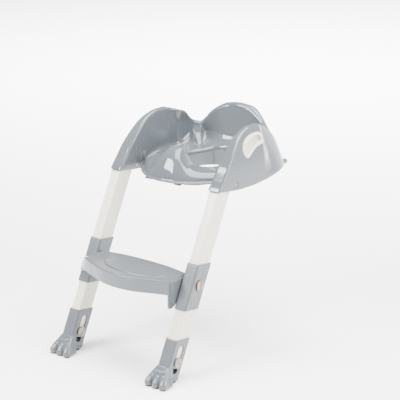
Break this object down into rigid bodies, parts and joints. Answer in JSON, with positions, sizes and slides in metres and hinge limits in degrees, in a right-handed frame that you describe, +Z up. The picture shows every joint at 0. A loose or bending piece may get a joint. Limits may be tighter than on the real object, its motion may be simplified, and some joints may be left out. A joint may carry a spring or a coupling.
{
  "type": "potty training seat with folding step ladder",
  "caption": "Child's toilet training seat with raised arms, backrest and splash guard, and a folding two-rail ladder with a step and adjustable toed feet.",
  "frame": {"origin": "centre of the footprint, on the floor that the ladder's feet stand on", "axes": "+X across the seat towards the child's left side when seated facing the ladder, +Y to the back of the seat, +Z up"},
  "size_m": [0.3662, 0.5731, 0.555],
  "materials": {
    "seat_plastic": "smooth glossy moulded polypropylene, mid grey",
    "step_plastic": "satin moulded polypropylene, mid grey",
    "white_plastic": "smooth warm white moulded plastic",
    "rubber": "matte black anti-slip rubber",
    "hardware": "nickel plated, slightly dull"
  },
  "bodies": {
    "seat": {"seat_shell": "seat_plastic", "hand_hold_right": "white_plastic", "hinge_pin_right": "hardware", "ring_pad_front_right": "rubber", "ring_pad_side_right": "rubber", "ring_pad_rear_right": "rubber", "hand_hold_left": "white_plastic", "hinge_pin_left": "hardware", "ring_pad_front_left": "rubber", "ring_pad_side_left": "rubber", "ring_pad_rear_left": "rubber"},
    "ladder": {"step_tread": "step_plastic", "rail_right": "white_plastic", "hinge_block_right": "white_plastic", "step_collar_right": "step_plastic", "step_bolt_right": "hardware", "step_nut_right": "hardware", "foot_clamp_nut_right": "hardware", "rail_left": "white_plastic", "hinge_block_left": "white_plastic", "step_collar_left": "step_plastic", "step_bolt_left": "hardware", "step_nut_left": "hardware", "foot_clamp_nut_left": "hardware"},
    "foot_right_body": {"foot_right": "step_plastic", "foot_sole_right": "rubber"},
    "clamp_right": {"foot_clamp_bolt_right": "hardware"},
    "foot_left_body": {"foot_left": "step_plastic", "foot_sole_left": "rubber"},
    "clamp_left": {"foot_clamp_bolt_left": "hardware"}
  },
  "joints": [
    {"name": "ladder_fold", "type": "hinge", "parent": "seat", "child": "ladder", "pos_m": [0, 0.00785, 0.425], "axis": [1, 0, 0], "range_deg": [0, 114]},
    {"name": "foot_right_slide", "type": "slide", "parent": "ladder", "child": "foot_right_body", "axis": [0, -0.4493, -0.8934], "range_m": [-0.018, 0.033]},
    {"name": "clamp_right_turn", "type": "hinge", "parent": "ladder", "child": "clamp_right", "pos_m": [0.17, -0.2204, 0.04662], "axis": [1, 0, 0], "continuous": true},
    {"name": "foot_left_slide", "type": "slide", "parent": "ladder", "child": "foot_left_body", "axis": [0, -0.4493, -0.8934], "range_m": [-0.018, 0.033]},
    {"name": "clamp_left_turn", "type": "hinge", "parent": "ladder", "child": "clamp_left", "pos_m": [-0.17, -0.2204, 0.04662], "axis": [1, 0, 0], "continuous": true}
  ]
}
